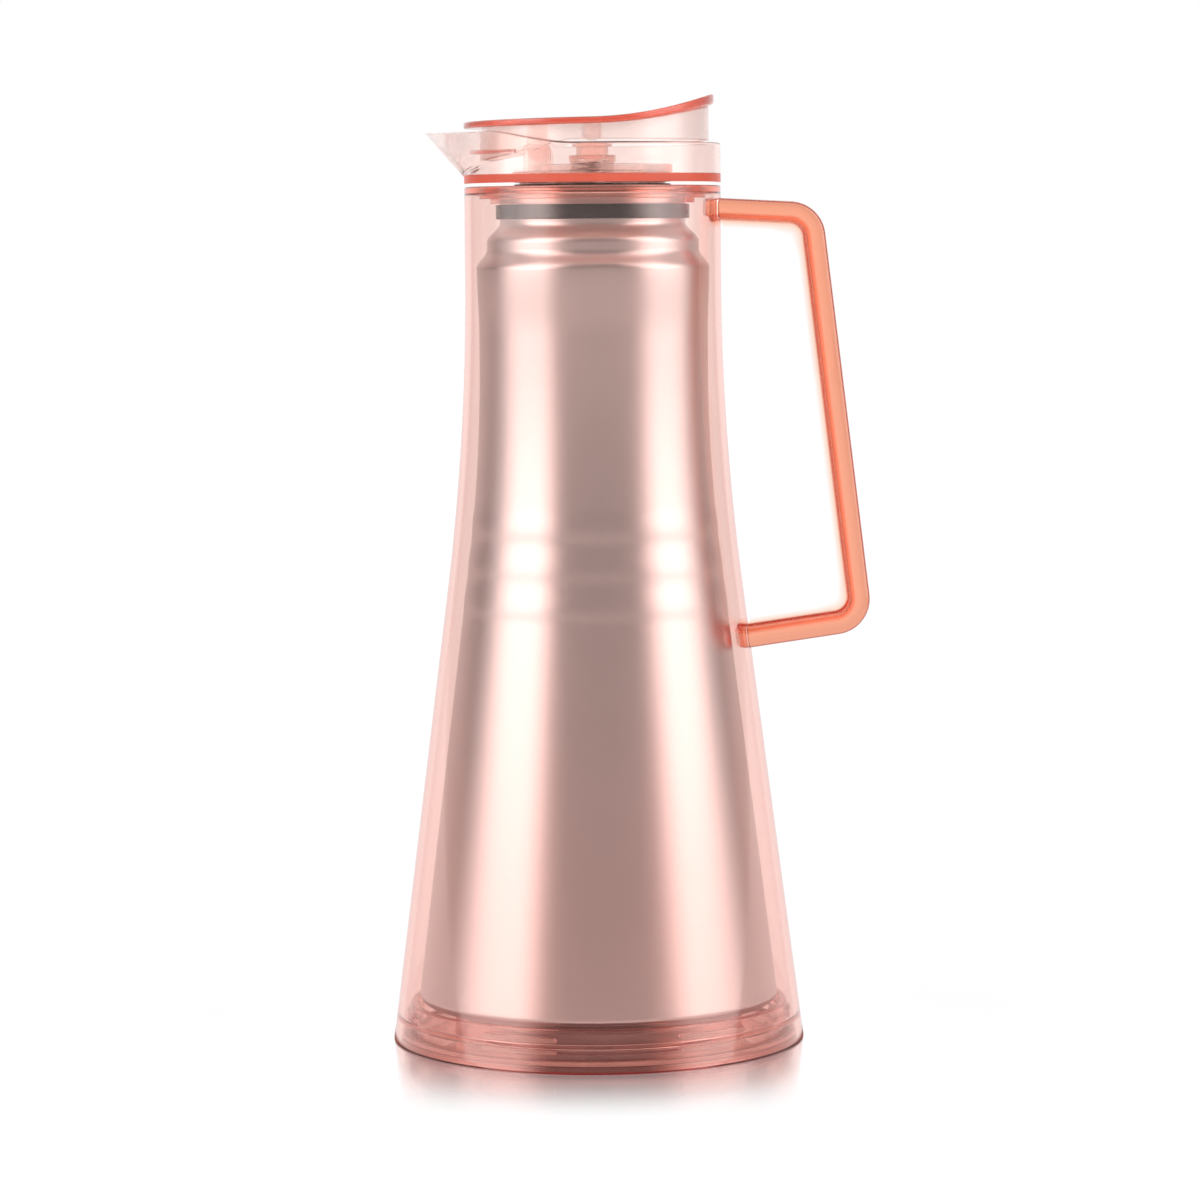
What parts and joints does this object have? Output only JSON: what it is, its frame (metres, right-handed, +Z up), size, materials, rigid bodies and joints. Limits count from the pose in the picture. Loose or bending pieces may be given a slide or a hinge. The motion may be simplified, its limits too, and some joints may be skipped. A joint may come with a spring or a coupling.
{
  "type": "thermal carafe",
  "caption": "Insulated pouring carafe: tinted see-through conical jacket over a steel vacuum liner, bar handle, and a spouted screw-in lid whose press lever opens a sprung valve.",
  "frame": {"origin": "centre of the base cap's flat underside, on the carafe's axis", "axes": "+Z up along the carafe's axis, spout towards -X, handle towards +X"},
  "size_m": [0.1478, 0.127, 0.2905],
  "materials": {
    "tinted_clear": "polished clear plastic with a pale coral tint",
    "tinted_deep": "polished clear plastic with a deep coral tint",
    "satin_steel": "satin drawn stainless steel",
    "bright_steel": "bright stainless steel",
    "dark_rubber": "smooth dark silicone",
    "black_plastic": "moulded black plastic",
    "soft_silicone": "pale silicone"
  },
  "bodies": {
    "jug": {"outer_shell": "tinted_clear", "base_cap": "tinted_clear", "base_gasket": "soft_silicone", "liner_pad": "soft_silicone", "liner_outer_wall": "satin_steel", "liner_inner_wall": "bright_steel", "liner_bottom": "satin_steel", "vacuum_plug": "dark_rubber", "getter": "bright_steel", "neck_ring": "tinted_deep", "neck_gasket": "dark_rubber", "handle": "tinted_deep", "upper_handle_clip": "tinted_deep", "lower_handle_clip": "tinted_deep"},
    "lid_seal": {"stopper_gasket": "dark_rubber"},
    "lid": {"lid_collar": "tinted_clear", "valve_housing": "tinted_deep", "stopper": "black_plastic", "hinge_pin_near": "tinted_deep", "hinge_pin_far": "tinted_deep", "valve_spring": "bright_steel"},
    "valve": {"valve_stem": "tinted_deep", "valve_disc": "black_plastic", "valve_seal": "soft_silicone"},
    "lever": {"lever": "tinted_deep"}
  },
  "joints": [
    {"name": "lid_lift", "type": "slide", "parent": "jug", "child": "lid_seal", "axis": [0, 0, 1], "range_m": [0, 0.07]},
    {"name": "lid_turn", "type": "hinge", "parent": "lid_seal", "child": "lid", "pos_m": [0, 0, 0.2636], "axis": [0, 0, 1], "range_deg": [0, 270]},
    {"name": "lever_press", "type": "hinge", "parent": "lid", "child": "lever", "pos_m": [-0.0162, 0, 0.2726], "axis": [0, 1, 0], "range_deg": [0, 8], "stiffness_Nm_per_rad": 0.2, "springref_deg": -14.32},
    {"name": "valve_slide", "type": "slide", "parent": "lid", "child": "valve", "axis": [0, 0, -1], "range_m": [0, 0.0024], "deforming": ["valve_spring"]}
  ],
  "couplings": [
    {"joint": "valve_slide", "follows": "lever_press", "m_per_rad": 0.0162}
  ]
}
